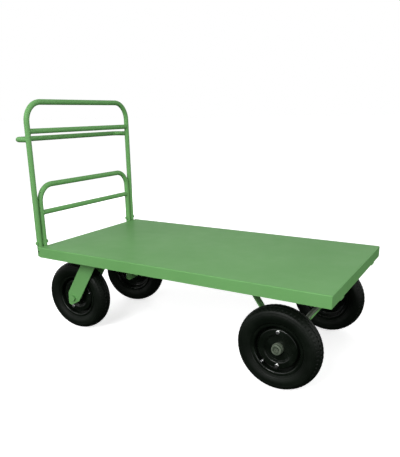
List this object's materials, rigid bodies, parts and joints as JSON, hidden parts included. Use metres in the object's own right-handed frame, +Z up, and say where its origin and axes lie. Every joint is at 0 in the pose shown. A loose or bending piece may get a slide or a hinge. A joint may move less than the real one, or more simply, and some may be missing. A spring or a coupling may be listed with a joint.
{
  "type": "folding platform cart",
  "caption": "Platform cart with sheet-metal deck, folding tube handle with guard, fixed pneumatic wheels on an axle and pneumatic swivel casters.",
  "frame": {"origin": "on the floor, under the middle of the cart's whole length and width", "axes": "+Z up; +X along the deck, away from the handle; +Y to the left of the person who pushes"},
  "size_m": [1.6189, 0.8, 1.1773],
  "materials": {
    "paint": "semi-gloss green enamel",
    "swivel": "dark oiled steel",
    "rim": "semi-gloss black",
    "tyre": "black rubber",
    "inner_tube": "black rubber",
    "zinc": "bright zinc plate",
    "steel": "oiled mill steel",
    "bearing": "ground steel"
  },
  "bodies": {
    "chassis": {"deck_tray": "paint", "deck_rail_right": "paint", "deck_rail_left": "paint", "caster_channel": "paint", "guard_tube": "paint", "guard_cross_bar": "paint", "pivot_bolts": "paint", "pivot_spacers": "paint", "lock_guides": "paint", "axle_bar": "steel", "axle_washers": "steel", "axle_collars": "steel", "collar_pins": "steel", "axle_bracket_right": "paint", "axle_bracket_left": "paint", "caster_plate_right": "swivel", "caster_plate_left": "swivel", "kingpin_right": "swivel", "kingpin_left": "swivel", "caster_bolts": "zinc"},
    "handle": {"handle_tube": "paint", "handle_cross_bar": "paint", "push_bar": "paint"},
    "lock_right": {"lock_pin_right": "zinc"},
    "lock_left": {"lock_pin_left": "zinc"},
    "swivel_right": {"fork_right": "paint", "swivel_balls_right": "bearing", "caster_axle_right": "paint"},
    "swivel_left": {"fork_left": "paint", "swivel_balls_left": "bearing", "caster_axle_left": "paint"},
    "caster_wheel_right": {"caster_right_tyre": "tyre", "caster_right_inner_tube": "inner_tube", "caster_right_rim_outer": "rim", "caster_right_rim_inner": "rim", "caster_right_hub": "steel", "caster_right_bearings": "bearing", "caster_right_rim_bolts": "zinc"},
    "caster_wheel_left": {"caster_left_tyre": "tyre", "caster_left_inner_tube": "inner_tube", "caster_left_rim_outer": "rim", "caster_left_rim_inner": "rim", "caster_left_hub": "steel", "caster_left_bearings": "bearing", "caster_left_rim_bolts": "zinc"},
    "fixed_wheel_right": {"fixed_right_tyre": "tyre", "fixed_right_inner_tube": "inner_tube", "fixed_right_rim_outer": "rim", "fixed_right_rim_inner": "rim", "fixed_right_hub": "steel", "fixed_right_bearings": "bearing", "fixed_right_rim_bolts": "zinc"},
    "fixed_wheel_left": {"fixed_left_tyre": "tyre", "fixed_left_inner_tube": "inner_tube", "fixed_left_rim_outer": "rim", "fixed_left_rim_inner": "rim", "fixed_left_hub": "steel", "fixed_left_bearings": "bearing", "fixed_left_rim_bolts": "zinc"}
  },
  "joints": [
    {"name": "handle_fold", "type": "hinge", "parent": "chassis", "child": "handle", "pos_m": [-0.70457, 0, 0.477], "axis": [0, 1, 0], "range_deg": [0, 90]},
    {"name": "lock_right_slide", "type": "slide", "parent": "chassis", "child": "lock_right", "axis": [0, -1, 0], "range_m": [0, 0.0295]},
    {"name": "lock_left_slide", "type": "slide", "parent": "chassis", "child": "lock_left", "axis": [0, 1, 0], "range_m": [0, 0.0295]},
    {"name": "swivel_right_turn", "type": "hinge", "parent": "chassis", "child": "swivel_right", "pos_m": [-0.46573, -0.245, 0.378], "axis": [0, 0, 1], "continuous": true},
    {"name": "caster_wheel_right_spin", "type": "hinge", "parent": "swivel_right", "child": "caster_wheel_right", "pos_m": [-0.57546, -0.25267, 0.181], "axis": [-0.0698, 0.9976, 0], "continuous": true},
    {"name": "fixed_wheel_right_spin", "type": "hinge", "parent": "chassis", "child": "fixed_wheel_right", "pos_m": [0.58927, -0.336, 0.181], "axis": [0, 1, 0], "continuous": true},
    {"name": "swivel_left_turn", "type": "hinge", "parent": "chassis", "child": "swivel_left", "pos_m": [-0.46573, 0.245, 0.378], "axis": [0, 0, 1], "continuous": true},
    {"name": "caster_wheel_left_spin", "type": "hinge", "parent": "swivel_left", "child": "caster_wheel_left", "pos_m": [-0.57291, 0.22026, 0.181], "axis": [-0.225, 0.9744, 0], "continuous": true},
    {"name": "fixed_wheel_left_spin", "type": "hinge", "parent": "chassis", "child": "fixed_wheel_left", "pos_m": [0.58927, 0.336, 0.181], "axis": [0, 1, 0], "continuous": true}
  ]
}
